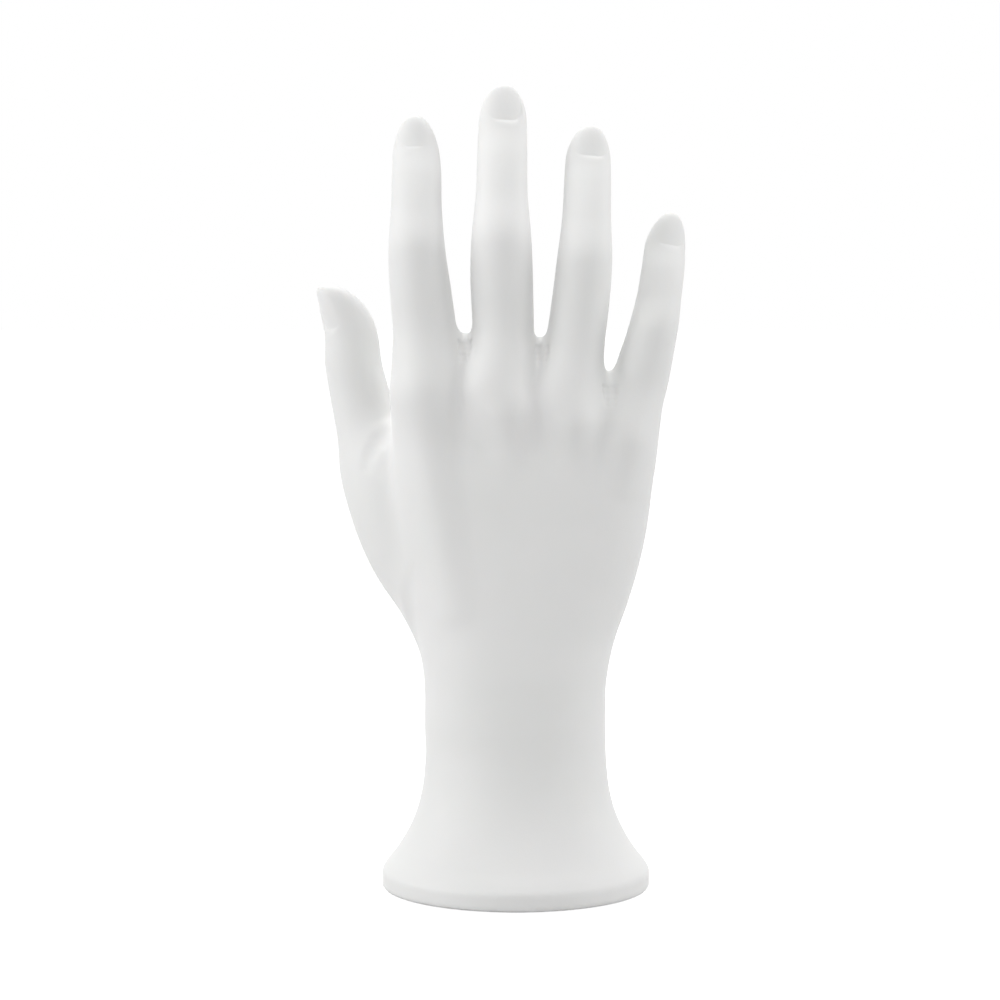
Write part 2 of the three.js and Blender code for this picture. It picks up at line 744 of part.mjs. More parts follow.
// A cutter over the nail. Its underside is the nail's curved face, and its walls slope outward.
function nailCutter({ limb, girth, base, turn, half, length }) {
  const roll = THREE.MathUtils.degToRad(turn.roll);
  const x = Math.sin(THREE.MathUtils.degToRad(turn.slant));
  const y = Math.sin(THREE.MathUtils.degToRad(turn.lean));
  const along = new THREE.Vector3(x, y, Math.sqrt(1 - x * x - y * y));
  const out = new THREE.Vector3(Math.sin(roll), -Math.cos(roll), 0);
  out.addScaledVector(along, -out.dot(along)).normalize();
  const across = new THREE.Vector3().crossVectors(along, out);
  const cuticle = limb.tip().addScaledVector(new THREE.Vector3(...base), girth);
  const outline = nailOutline(half * girth, length * girth);
  const centre = 0.6 * length * girth;
  const place = (a, h, lift) => {
    const face = a ** 2 / (2 * NAIL_ROUNDING) + h ** 2 / (2 * NAIL_LENGTH_ROUNDING);
    return cuticle.clone().addScaledVector(across, a).addScaledVector(along, h)
      .addScaledVector(out, lift - face);
  };
  const vertices = [];
  const triangles = [];
  const sides = outline.length;
  [0, NAIL_CUT_DEPTH].forEach((lift) => {
    const spread = 1 + NAIL_WALL_SLOPE * lift / (half * girth);
    [0.5, 1].forEach((share) => {
      outline.forEach(([a, h]) => {
        vertices.push(place(a * share * spread, centre + (h - centre) * share * spread, lift));
      });
    });
    vertices.push(place(0, centre, lift));
  });
  const layer = 2 * sides + 1;
  for (let i = 0; i < sides; i += 1) {
    const j = (i + 1) % sides;
    const [innerI, innerJ, outerI, outerJ, middle] = [i, j, sides + i, sides + j, 2 * sides];
    triangles.push(middle, innerJ, innerI, innerI, innerJ, outerJ, innerI, outerJ, outerI);
    const top = [middle, innerI, innerJ, innerI, outerJ, innerJ, innerI, outerI, outerJ];
    triangles.push(...top.map((n) => n + layer));
    triangles.push(outerI, outerJ, outerJ + layer, outerI, outerJ + layer, outerI + layer);
  }
  return solidFromMesh({ vertices, triangles });
}

// Pieces

function handCasting() {
  let solid = solidFromMesh(surfaceMesh(handDistance, handBounds()));
  const below = new THREE.BoxGeometry(2 * FOOT_DIAMETER, 2 * FOOT_DIAMETER, 2 * RIM_HEIGHT);
  below.translate(0, 0, FOOT_BOTTOM - RIM_HEIGHT);
  solid = solid.subtract(solidFromGeometry(below));
  const recess = disc(PAD_DIAMETER + 2 * PAD_CLEARANCE, FOOT_BOTTOM - TRIM, TRIM + PAD_RECESS);
  solid = solid.subtract(solidFromGeometry(recess));
  NAILS.forEach((nail) => {
    solid = solid.subtract(nailCutter(nail));
  });
  return geometryFromSolid(solid);
}

const resin = new THREE.MeshStandardMaterial({ color: 0xf1f1ee, roughness: 0.62, metalness: 0 });
const foam = new THREE.MeshStandardMaterial({ color: 0xd9d9d4, roughness: 0.92, metalness: 0 });

const hand = new THREE.Mesh(handCasting(), resin);
hand.name = 'hand_casting';

const pad = new THREE.Mesh(disc(PAD_DIAMETER, 0, PAD_THICKNESS), foam);
pad.name = 'base_pad';

const stand = new THREE.Group();
stand.add(hand, pad);

export default stand;
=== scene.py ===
import math

import bmesh
import bpy
import numpy as np
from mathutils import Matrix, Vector


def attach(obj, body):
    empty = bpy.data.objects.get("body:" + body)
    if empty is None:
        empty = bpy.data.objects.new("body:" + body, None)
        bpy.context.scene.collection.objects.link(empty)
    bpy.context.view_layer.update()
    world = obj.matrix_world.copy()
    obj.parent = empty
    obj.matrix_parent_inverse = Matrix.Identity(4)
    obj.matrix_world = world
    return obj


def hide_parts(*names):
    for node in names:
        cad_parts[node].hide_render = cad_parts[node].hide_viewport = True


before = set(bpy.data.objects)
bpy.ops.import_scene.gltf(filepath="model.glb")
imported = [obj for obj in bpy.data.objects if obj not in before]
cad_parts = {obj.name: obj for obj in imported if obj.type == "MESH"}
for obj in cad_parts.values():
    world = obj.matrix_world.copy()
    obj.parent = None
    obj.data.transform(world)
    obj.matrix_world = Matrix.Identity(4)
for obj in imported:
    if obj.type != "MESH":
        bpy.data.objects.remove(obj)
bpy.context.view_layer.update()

# The hand is shaped in millimetres and handed to Blender in metres. It stands on a round foot,
# with the back of the hand facing -Y, the palm facing +Y and the thumb pointing to -X.
MM = 0.001

# Driving sizes, mm
STAND_HEIGHT = 150
FOOT_DIAMETER = 50
RIM_HEIGHT = 3.4
FLARE_HEIGHT = 20.5
WRIST_WIDTH = 33.8
WRIST_DEPTH = 25.2
WRIST_TOP = 39
PALM_WIDTH = 48
PALM_DEPTH = 14.8
PALM_CROWN = 11.5
PALM_REACH = 4.1
THUMB_PAD_BULGE = 7.6
HEEL_BULGE = 6.6
RIDGE_RADIUS = 5
WEB_SIZE = (4.4, 4.6, 9)
INDEX_WIDTH, INDEX_BONES = 10.85, (25.3, 14.4, 10.8)
MIDDLE_WIDTH, MIDDLE_BONES = 11.5, (27.3, 16.4, 13.1)
RING_WIDTH, RING_BONES = 10.6, (25.8, 15, 10.4)
LITTLE_WIDTH, LITTLE_BONES = 9.5, (17.3, 11.5, 10.2)
KNUCKLE_LINE = STAND_HEIGHT - sum(MIDDLE_BONES)
PALM_HEIGHT = KNUCKLE_LINE - WRIST_TOP
INDEX_KNUCKLE_RISE = 0.6
RING_KNUCKLE_DROP = 2
LITTLE_KNUCKLE_DROP = 6
FINGER_ROOT = 15.5
THUMB_WIDTH = 15
THUMB_RISE = 19.6
NAIL_ROUNDING = 6.2
NAIL_LENGTH_ROUNDING = 40
NAIL_WALL_SLOPE = 0.9
PAD_DIAMETER = 46
PAD_THICKNESS = 1.2
PAD_RECESS = 0.8
PAD_CLEARANCE = 0.3
FOOT_BOTTOM = PAD_THICKNESS - PAD_RECESS

# Share of a nail's length over which it is rounded at the cuticle
CUTICLE_SHARE = 0.42

# Widths of the fillets between the forms, mm
WEB_FILLET = 2.5
THUMB_PAD_FILLET = 9
HEEL_FILLET = 7
RIDGE_FILLET = 2.6
FINGER_FILLET = 1.6
KNUCKLE_FILLET = 3.5
THUMB_FILLET = 5.2
ROOT_FILLET = 5
NAIL_FILLET = 0.6
CREASE_FILLET = 0.4
THUMB_CREASE_FILLET = 0.9
FOOT_FILLET = 0.5
RECESS_FILLET = 0.4

# Small folds of skin under the webs, each between two creases, and the crease across the thumb's web.
# Tapers and fades are shares, and a crease shapes the skin up to its reach beyond its own radius.
FOLD_LENGTH = 3.2
FOLD_WIDTH = 1.76
FOLD_SHIFT = 0.4
FOLD_DROP = 1.2
FOLD_STEPS = 3
FOLD_TAPER = 0.3
CREASE_RADIUS = 0.7
CREASE_DEPTH = 0.34
CREASE_TAPER = 0.5
CREASE_REACH = 1.5
THUMB_CREASE_RADIUS = 2.8
THUMB_CREASE_DEPTH = 0.2
THUMB_CREASE_FADE = (0.94, 1, 0.97, 0.92)

# The pad's soft cut edge, from a face round to the side: how far in from the rim and from the face
PAD_EDGE = [(0.25, 0), (0.08, 0.07), (0, 0.25)]
PAD_RINGS = 30
PAD_SIDES = 192

# Slight hollows in the foam: mean depth, the two waves that are multiplied to make them (radians per mm
# in x and in y, and start in radians), the flat margin along the edge and the width of the slope beside it
FOAM_UNEVENNESS = 0.02
FOAM_WAVES = [(0.41, 0, 0.7), (0.12, 0.37, 0.2)]
FOAM_MARGIN = 0.5
FOAM_SLOPE = 3

# How square a level section is: 2 is an ellipse, more is squarer
PALM_SQUARENESS = 2.35
THUMB_SQUARENESS = 2.1
NAIL_SQUARENESS = 3

# Surface mesh: the box round the hand and the spacing of the grid in it. Whole blocks of cells are tried
# first, and cells within NEAR_BLOCKS of the surface are then worked out one by one, in batches that keep
# the memory low. FAR stands in for a distance that is too large to work out.
BOX_LOW, BOX_HIGH = (-40.3, -26.6, -1.3), (34.3, 26.6, 152)
CELL = 0.62
BLOCK = 4
NEAR_BLOCKS = 2.4
FAR = 1000
BATCHES = 12

# Settling on the surface: passes, step for measuring a slope, and the least squared slope that is used
SETTLE_PASSES = 3
SLOPE_STEP = 0.04
LEAST_SLOPE = 0.05

# Steps through the hand in the search for a point on its back
BACK_SAMPLES = 2001

# Finer faces at the edges of the nails, in the creases and round the pad's recess: how near to an edge
# faces are split in each round, in cells, how many times nearer in a crease, and the zone round a nail
SPLIT_REACHES = (2.4, 1.2)
CREASE_NARROWING = 3
NAIL_ZONE_HEIGHT = 2.5
NAIL_ZONE_BEFORE = 2
NAIL_ZONE_BEYOND = 1
NAIL_ZONE_RADIUS = 14

# Small numbers that keep divisions and roots clear of zero
TINY = 1e-9
TINY_TERM = 1e-12
TINY_OFFSET = 1e-6


# Smooth maths on whole arrays

def mix(a, b, t):
    return a + (b - a) * t


def smooth_step(start, end, value):
    t = np.clip((value - start) / (end - start), 0, 1)
    return t * t * (3 - 2 * t)


def blend_join(a, b, width):
    h = np.clip(0.5 + 0.5 * (b - a) / width, 0, 1)
    return mix(b, a, h) - width * h * (1 - h)


def blend_keep(a, b, width):
    return -blend_join(-a, -b, width)


class Limb:
    """Level ovals joined by a smooth curve: rows of height, centre x, centre y, width, depth."""

    def __init__(self, rows, crown=0.0, top=None):
        rows = np.asarray(rows, float)
        self.heights, self.values = rows[:, 0], rows[:, 1:]
        self.crown = crown
        self.top = self.heights[-1] if top is None else top
        steps = np.diff(self.heights)[:, None]
        slopes = np.diff(self.values, axis=0) / steps
        self.tangents = np.empty_like(self.values)
        self.tangents[0], self.tangents[-1] = slopes[0], slopes[-1]
        low, high = steps[:-1], steps[1:]
        self.tangents[1:-1] = (slopes[:-1] * high + slopes[1:] * low) / (low + high)
        self.tangents[1:-1][slopes[:-1] * slopes[1:] <= 0] = 0

    def ovals(self, z):
        """Centre x and y, half width and half depth at each height."""
        z = np.clip(z, self.heights[0], self.heights[-1])
        i = np.clip(np.searchsorted(self.heights, z, side="right") - 1, 0, len(self.heights) - 2)
        span = self.heights[i + 1] - self.heights[i]
        t = ((z - self.heights[i]) / span)[:, None]
        leave, arrive = self.tangents[i] * span[:, None], self.tangents[i + 1] * span[:, None]
        rise = t * t * (3 - 2 * t)
        found = mix(self.values[i], self.values[i + 1], rise)
        found = found + leave * t * (1 - t) ** 2 - arrive * t * t * (1 - t)
        return found[:, 0], found[:, 1], found[:, 2] / 2, found[:, 3] / 2

    def distance(self, p, squareness=2):
        x, y, wide, deep = self.ovals(p[:, 2])
        offsets = [np.abs(p[:, 0] - x), np.abs(p[:, 1] - y)]
        sizes = [wide, deep]
        if self.crown:
            offsets.append(np.maximum(p[:, 2] - self.top + self.crown, 0))
            sizes.append(self.crown)
        total, steep = TINY_TERM, 0.0
        for offset, size in zip(offsets, sizes):
            term = (offset / size) ** squareness
            total = total + term
            steep = steep + (term / (offset + TINY_OFFSET)) ** 2
        size = total ** (1 / squareness)
        return (size - 1) / (np.sqrt(steep) * size ** (1 - squareness) + TINY)

    def rooted_distance(self, p, squareness=2):
        """The same, faded out below the limb's first row."""
        return blend_keep(self.distance(p, squareness), self.heights[0] - p[:, 2], ROOT_FILLET)

    def tip(self):
        return np.array([*self.values[-1, :2], self.top])


class Mound:
    """An ellipsoid whose long axis tilts towards +X and leans towards +Y, in degrees."""

    def __init__(self, centre, radii, tilt=0.0, lean=0.0):
        t, l = math.radians(tilt), math.radians(lean)
        along = np.array([math.sin(t) * math.cos(l), math.sin(l), math.cos(t) * math.cos(l)])
        side = np.array([math.cos(t), 0.0, -math.sin(t)])
        self.centre, self.radii = np.array(centre), np.array(radii)
        self.axes = np.stack([side, np.cross(along, side), along], 1)

    def distance(self, p):
        q = (p - self.centre) @ self.axes / self.radii
        near = np.sqrt((q ** 2).sum(1) + TINY)
        steep = np.sqrt(((q / self.radii) ** 2).sum(1) + TINY)
        return near * (near - 1) / steep


class Bar:
    """A round-ended bar that tapers from one ball to another, with radii in shares of RIDGE_RADIUS."""

    def __init__(self, start, end, radii):
        self.start, self.along, self.radii = start, end - start, radii

    def distance(self, p):
        offset = p - self.start
        t = np.clip(offset @ self.along / (self.along @ self.along), 0, 1)
        radius = RIDGE_RADIUS * mix(*self.radii, t)
        return np.linalg.norm(offset - t[:, None] * self.along, axis=1) - radius


# Foot, wrist and palm

# Share of the flare's height, share of the way from wrist to foot
FLARE_CURVE = [
    (0, 1), (0.058, 0.93), (0.176, 0.7), (0.351, 0.425), (0.537, 0.215), (0.722, 0.09), (1, 0.005),
]

# Share from wrist top to knuckle line, centre x and y, share of the way from wrist to palm in width and
# in depth. From here on x is in shares of half the palm's width and y in shares of the palm's depth.
PALM_CURVE = [
    (-0.14, -0.006, 0, 0, 0),
    (0, -0.004, 0.007, 0.014, 0),
    (0.14, 0.004, 0.014, 0.19, 0.08),
    (0.276, 0.029, -0.014, 0.455, 0.23),
    (0.417, 0.054, -0.068, 0.68, 0.42),
    (0.555, 0.06, -0.122, 0.86, 0.6),
    (0.69, 0.058, -0.162, 0.975, 0.73),
    (0.83, 0.056, -0.165, 1.01, 0.86),
    (1, 0.058, -0.135, 0.985, 1),
]


def across_palm(share):
    return share * PALM_WIDTH / 2


def through_palm(share):
    return share * PALM_DEPTH


def up_palm(share):
    return mix(WRIST_TOP, KNUCKLE_LINE, share)


def palm_point(x, y, z):
    return np.array([across_palm(x), through_palm(y), up_palm(z)])


def body_rows():
    rows = [(FOOT_BOTTOM - RIM_HEIGHT, 0, 0, FOOT_DIAMETER, FOOT_DIAMETER)]
    for rise, spread in FLARE_CURVE:
        width = mix(WRIST_WIDTH, FOOT_DIAMETER, spread)
        depth = mix(WRIST_DEPTH, FOOT_DIAMETER, spread)
        rows.append((RIM_HEIGHT + rise * FLARE_HEIGHT, 0, 0, width, depth))
    for rise, x, y, wide, deep in PALM_CURVE:
        width = mix(WRIST_WIDTH, PALM_WIDTH, wide)
        depth = mix(WRIST_DEPTH, PALM_DEPTH, deep)
        rows.append((up_palm(rise), across_palm(x), through_palm(y), width, depth))
    return rows


# Fingers

# Places of the sections between the joints, in shares of the bone
FIRST_BONE_SECTIONS = (0.43, 0.73)
SECOND_BONE_SECTION = 0.57
LAST_BONE_SECTION = 0.45


# Sections are taken at two heights inside the palm, at the knuckle, twice along the first bone, at the
# middle joint, along the second bone, at the end joint, along the last bone and at the tip. Widths,
# depths and the height of the rounded tip are in shares of the finger's width.
def finger_limb(knuckle, bones, girth, x, y, width, depth, crown):
    first, second, last = bones
    middle_joint = knuckle + first
    end_joint = middle_joint + second
    heights = [
        knuckle - FINGER_ROOT, knuckle - FINGER_ROOT / 2, knuckle,
        *(knuckle + share * first for share in FIRST_BONE_SECTIONS), middle_joint,
        middle_joint + SECOND_BONE_SECTION * second, end_joint,
        end_joint + LAST_BONE_SECTION * last, end_joint + last,
    ]
    x, y, width, depth = (np.array(column) for column in (x, y, width, depth))
    rows = np.stack([heights, across_palm(x), through_palm(y), girth * width, girth * depth], 1)
    return Limb(rows, crown * girth)


INDEX = finger_limb(
    KNUCKLE_LINE + INDEX_KNUCKLE_RISE, INDEX_BONES, INDEX_WIDTH,
    x=(-0.525, -0.6, -0.662, -0.7, -0.733, -0.758, -0.765, -0.766, -0.774, -0.782),
    y=(0.027, -0.108, -0.196, -0.216, -0.264, -0.297, -0.081, 0.132, 0.324, 0.338),
    width=(1.014, 1.235, 1.281, 1.088, 1.04, 0.965, 0.862, 0.84, 0.785, 0.73),
    depth=(0.829, 1.419, 1.659, 1.051, 1.014, 0.977, 0.857, 0.783, 0.728, 0.627),
    crown=0.728)
MIDDLE = finger_limb(
    KNUCKLE_LINE, MIDDLE_BONES, MIDDLE_WIDTH,
    x=(-0.12, -0.155, -0.17, -0.1, -0.11, -0.113, -0.11, -0.106, -0.102, -0.098),
    y=(0.027, -0.128, -0.23, -0.243, -0.304, -0.338, -0.081, 0.169, 0.419, 0.466),
    width=(0.9, 1.22, 1.36, 0.984, 1, 0.965, 0.828, 0.805, 0.785, 0.774),
    depth=(0.783, 1.35, 1.62, 1.043, 0.974, 0.939, 0.8, 0.73, 0.67, 0.574),
    crown=0.66)
RING = finger_limb(
    KNUCKLE_LINE - RING_KNUCKLE_DROP, RING_BONES, RING_WIDTH,
    x=(0.27, 0.32, 0.345, 0.45, 0.494, 0.521, 0.542, 0.553, 0.56, 0.575),
    y=(0.027, -0.108, -0.203, -0.223, -0.267, -0.297, -0.054, 0.196, 0.385, 0.399),
    width=(0.95, 1.28, 1.42, 1.045, 1.005, 0.965, 0.85, 0.82, 0.79, 0.76),
    depth=(0.811, 1.36, 1.63, 1.113, 1.019, 0.981, 0.868, 0.802, 0.736, 0.642),
    crown=0.68)
LITTLE = finger_limb(
    KNUCKLE_LINE - LITTLE_KNUCKLE_DROP, LITTLE_BONES, LITTLE_WIDTH,
    x=(0.708, 0.783, 0.842, 0.944, 0.998, 1.046, 1.102, 1.135, 1.157, 1.2),
    y=(0.054, -0.054, -0.115, -0.149, -0.203, -0.236, -0.074, 0.088, 0.277, 0.291),
    width=(0.947, 1.2, 1.263, 1.147, 1.064, 0.98, 0.87, 0.84, 0.79, 0.73),
    depth=(0.8, 1.389, 1.6, 1.158, 1.053, 0.989, 0.884, 0.821, 0.758, 0.653),
    crown=0.726)

# The thumb rises from the heel of the hand and bends back at its tip: share from wrist top to thumb tip,
# centre x and y, then width and depth in shares of the thumb's width.
THUMB_CURVE = [
    (0.041, -0.333, 0.068, 0.533, 0.6),
    (0.122, -0.483, 0.149, 0.76, 0.84),
    (0.205, -0.642, 0.284, 0.92, 1),
    (0.308, -0.808, 0.405, 0.967, 1.04),
    (0.409, -0.95, 0.5, 1, 1.013),
    (0.509, -1.069, 0.561, 0.96, 0.96),
    (0.611, -1.144, 0.595, 0.82, 0.827),
    (0.705, -1.21, 0.622, 0.773, 0.773),
    (0.799, -1.271, 0.59, 0.715, 0.76),
    (0.881, -1.293, 0.53, 0.67, 0.693),
    (0.928, -1.346, 0.48, 0.683, 0.653),
    (1, -1.46, 0.36, 0.77, 0.573),
]
THUMB_CROWN = 0.52
THUMB = Limb([
    (mix(WRIST_TOP, KNUCKLE_LINE + THUMB_RISE, rise), across_palm(x), through_palm(y),
     THUMB_WIDTH * width, THUMB_WIDTH * depth)
    for rise, x, y, width, depth in THUMB_CURVE
], THUMB_CROWN * THUMB_WIDTH)


def web(x, y, rise):
    """A web between neighbouring fingers: x, y, share of the middle finger's first bone up to its top."""
    top = KNUCKLE_LINE + rise * MIDDLE_BONES[0]
    return Mound((across_palm(x), through_palm(y), top - WEB_SIZE[2]), WEB_SIZE)


WEBS = [web(-0.408, -0.041, 0.377), web(0.183, -0.041, 0.344), web(0.7, 0.014, 0.081)]

# The web of skin between the thumb and the palm
THUMB_WEB_SIZE = (across_palm(0.36), 0.4 * PALM_DEPTH, 0.28 * PALM_HEIGHT)
THUMB_WEB = Mound(palm_point(-0.83, 0.235, 0.59), THUMB_WEB_SIZE, -10)

# Fleshy base of the thumb and heel of the hand on the palm side
THUMB_PAD_SIZE = (across_palm(0.417), THUMB_PAD_BULGE, 0.369 * PALM_HEIGHT)
THUMB_PAD = Mound(palm_point(-0.542, 0.514, 0.461), THUMB_PAD_SIZE, -24, 5)
HEEL_SIZE = (across_palm(0.358), HEEL_BULGE, 0.387 * PALM_HEIGHT)
HEEL = Mound(palm_point(0.442, 0.351, 0.48), HEEL_SIZE, 7, -2)

# Ridges over the bones in the back of the hand: the knuckle, the place where the ridge sinks away, and
# its radius at both ends in shares of the ridge radius
RIDGES = [
    Bar(palm_point(-0.717, -0.392, 0.978), palm_point(-0.417, -0.351, 0.277), (1.04, 0.92)),
    Bar(palm_point(-0.06, -0.601, 0.941), palm_point(-0.04, -0.4, 0.74), (0.84, 0.74)),
    Bar(palm_point(0.44, -0.568, 0.904), palm_point(0.42, -0.385, 0.72), (0.78, 0.7)),
    Bar(palm_point(0.833, -0.446, 0.839), palm_point(0.79, -0.35, 0.7), (0.72, 0.64)),
]

# The wrist is a plain oval, and the palm above it is squarer.
PALM_STARTS = RIM_HEIGHT + 0.8 * FLARE_HEIGHT
PALM_IS_FULL = 1.15 * WRIST_TOP
BODY = Limb(body_rows())
PALM = Limb(body_rows(), PALM_CROWN, KNUCKLE_LINE + PALM_REACH)


class Nail:
    """Base is the middle of the cuticle, from the middle of the limb's tip. Roll turns the nail round
    the finger towards +X, lean tips its end towards the palm and slant towards +X, in degrees. Base,
    half width and length are in shares of the limb's width."""

    def __init__(self, limb, girth, base, roll, lean, slant, half, length):
        roll, lean, slant = (math.radians(angle) for angle in (roll, lean, slant))
        x, y = math.sin(slant), math.sin(lean)
        along = np.array([x, y, math.sqrt(1 - x * x - y * y)])
        out = np.array([math.sin(roll), -math.cos(roll), 0])
        out -= out @ along * along
        out /= np.linalg.norm(out)
        self.base = limb.tip() + girth * np.array(base)
        self.half, self.length = girth * half, girth * length
        self.axes = np.stack([np.cross(along, out), out, along], 1)

    def coordinates(self, p):
        """Distance across the nail, out of it and along it."""
        return ((p - self.base) @ self.axes).T

    def edge(self, p):
        """Distance outside the nail's outline, which is round at the cuticle and open at the tip."""
        across, _, along = self.coordinates(p)
        middle = CUTICLE_SHARE * self.length
        over = np.where(along < middle, middle - along, np.maximum(along - self.length, 0)) / middle
        power = NAIL_SQUARENESS
        return ((np.abs(across / self.half) ** power + over ** power) ** (1 / power) - 1) * self.half

    def face(self, p):
        """Height above the nail's curved face."""
        across, out, along = self.coordinates(p)
        return out + across ** 2 / (2 * NAIL_ROUNDING) + along ** 2 / (2 * NAIL_LENGTH_ROUNDING)

    def cut(self, p, distance):
        height = self.face(p)
        steepness = 1 / math.hypot(1, NAIL_WALL_SLOPE)
        pocket = np.maximum((self.edge(p) - NAIL_WALL_SLOPE * height) * steepness, -height)
        return blend_keep(distance, -pocket, NAIL_FILLET)


FINGERS = {
    INDEX: Nail(INDEX, INDEX_WIDTH, (0.01, -0.375, -0.544), -5, 21, -2, 0.25, 0.691),
    MIDDLE: Nail(MIDDLE, MIDDLE_WIDTH, (0.03, -0.348, -0.591), 10, 21, 1, 0.265, 0.722),
    RING: Nail(RING, RING_WIDTH, (0.019, -0.358, -0.547), 9, 21, 2, 0.283, 0.698),
    LITTLE: Nail(LITTLE, LITTLE_WIDTH, (-0.032, -0.389, -0.632), 16, 21, 8, 0.274, 0.779),
}
THUMB_NAIL = Nail(THUMB, THUMB_WIDTH, (0.02, -0.02, -0.56), -64, -8, -20, 0.247, 0.66)
NAILS = [*FINGERS.values(), THUMB_NAIL]


def hand_distance(p):
    """Distance outside the hand, before its creases and the cuts under its foot."""
    to_palm = smooth_step(PALM_STARTS, PALM_IS_FULL, p[:, 2])
    distance = mix(BODY.distance(p), PALM.distance(p, PALM_SQUARENESS), to_palm)
    forms = [(form, WEB_FILLET) for form in [*WEBS, THUMB_WEB]]
    forms += [(THUMB_PAD, THUMB_PAD_FILLET), (HEEL, HEEL_FILLET)]
    forms += [(form, RIDGE_FILLET) for form in RIDGES]
    for form, fillet in forms:
        distance = blend_join(distance, form.distance(p), fillet)
    fingers = None
    for finger, nail in FINGERS.items():
        cut = nail.cut(p, finger.rooted_distance(p))
        fingers = cut if fingers is None else blend_join(fingers, cut, FINGER_FILLET)
    distance = blend_join(distance, fingers, KNUCKLE_FILLET)
    thumb = THUMB_NAIL.cut(p, THUMB.rooted_distance(p, THUMB_SQUARENESS))
    return blend_join(distance, thumb, THUMB_FILLET)


def slope_of(distance, points):
    """Direction and rate in which a distance grows at each point."""
    h = SLOPE_STEP
    return np.stack([
        distance(points + h * axis) - distance(points - h * axis) for axis in np.eye(3)
    ], 1) / (2 * h)


def back_point(x, z):
    """The point on the back of the hand at x and z."""
    y = np.linspace(-FOOT_DIAMETER / 2, FOOT_DIAMETER / 2, BACK_SAMPLES)
    column = np.stack([np.full_like(y, x), y, np.full_like(y, z)], 1)
    return column[np.argmax(hand_distance(column) < 0)]


class Crease:
    """A small groove in the back of the hand through points given as x and z. Its radius fades by a
    share at each point, so that it runs out."""

    def __init__(self, places, radius, depth, fillet, fade):
        found = np.array([back_point(x, z) for x, z in places])
        normals = slope_of(hand_distance, found)
        normals /= np.linalg.norm(normals, axis=1, keepdims=True)
        line = found + (radius - depth) * normals
        sizes = np.array(fade) * radius / RIDGE_RADIUS
        self.bars = [Bar(line[k], line[k + 1], sizes[k:k + 2]) for k in range(len(line) - 1)]
        self.fillet = fillet
        self.middle = found.mean(0)
        self.reach = np.linalg.norm(found - self.middle, axis=1).max() + radius

    def distance(self, p):
        return np.min([bar.distance(p) for bar in self.bars], axis=0)

    def near(self, p, margin):
        return np.linalg.norm(p - self.middle, axis=1) < self.reach + margin


def fold(web):
    """The two creases beside a small fold of skin that runs down from a web."""
    x, z = web.centre[0] + FOLD_SHIFT, web.centre[2] + web.radii[2] - FOLD_DROP
    shares = np.linspace(0, 1, FOLD_STEPS + 1)
    creases = []
    for side in (-FOLD_WIDTH / 2, FOLD_WIDTH / 2):
        places = [(x + side * (1 - FOLD_TAPER * s), z - s * FOLD_LENGTH) for s in shares]
        fade = 1 - CREASE_TAPER * shares
        creases.append(Crease(places, CREASE_RADIUS, CREASE_DEPTH, CREASE_FILLET, fade))
    return creases


# The crease across the thumb's web starts beside the index finger: x and z in shares of the palm
THUMB_CREASE_PLACES = [(-0.985, 0.856), (-1.055, 0.831), (-1.12, 0.79), (-1.163, 0.74)]
THUMB_CREASE = Crease(
    [(across_palm(x), up_palm(z)) for x, z in THUMB_CREASE_PLACES],
    THUMB_CREASE_RADIUS, THUMB_CREASE_DEPTH, THUMB_CREASE_FILLET, THUMB_CREASE_FADE)
CREASES = [crease for web in WEBS for crease in fold(web)] + [THUMB_CREASE]


def past_recess(p):
    """Distance outside the round wall of the pad's recess."""
    return np.hypot(p[:, 0], p[:, 1]) - PAD_DIAMETER / 2 - PAD_CLEARANCE


def at_recess(p, reach):
    """Whether each point is near the wall of the pad's recess."""
    return (np.abs(past_recess(p)) < reach) & (p[:, 2] < PAD_THICKNESS + CELL)


def casting_distance(p):
    """The creased hand, cut flat underneath with a soft edge and recessed for the foot pad."""
    distance = hand_distance(p)
    for crease in CREASES:
        near = crease.near(p, CREASE_REACH)
        for bar in crease.bars:
            distance[near] = blend_keep(distance[near], -bar.distance(p[near]), crease.fillet)
    distance = blend_keep(distance, FOOT_BOTTOM - p[:, 2], FOOT_FILLET)
    recess = blend_keep(past_recess(p), p[:, 2] - FOOT_BOTTOM - PAD_RECESS, RECESS_FILLET)
    return blend_keep(distance, -recess, RECESS_FILLET)


# Surface mesh: one vertex in each cell that the surface crosses, settled on the surface

def sample_near_surface(distance, low, cell, counts):
    """Values of the distance on a grid: exact near the surface, and only their sign elsewhere."""
    blocks = -(-np.array(counts) // BLOCK) + 1
    index = np.stack(np.meshgrid(*(np.arange(n) for n in blocks), indexing="ij"), -1).reshape(-1, 3)
    coarse = distance(low + (index * BLOCK + 0.5 * (BLOCK - 1)) * cell)
    coarse = np.where(np.isfinite(coarse), coarse, FAR).reshape(blocks)
    fine = coarse
    for axis in range(3):
        fine = np.repeat(fine, BLOCK, axis)
    fine = fine[:counts[0], :counts[1], :counts[2]].copy()
    near = np.argwhere(np.abs(fine) < NEAR_BLOCKS * BLOCK * cell)
    found = np.concatenate([distance(low + part * cell) for part in np.array_split(near, BATCHES)])
    fine[tuple(near.T)] = found
    return fine


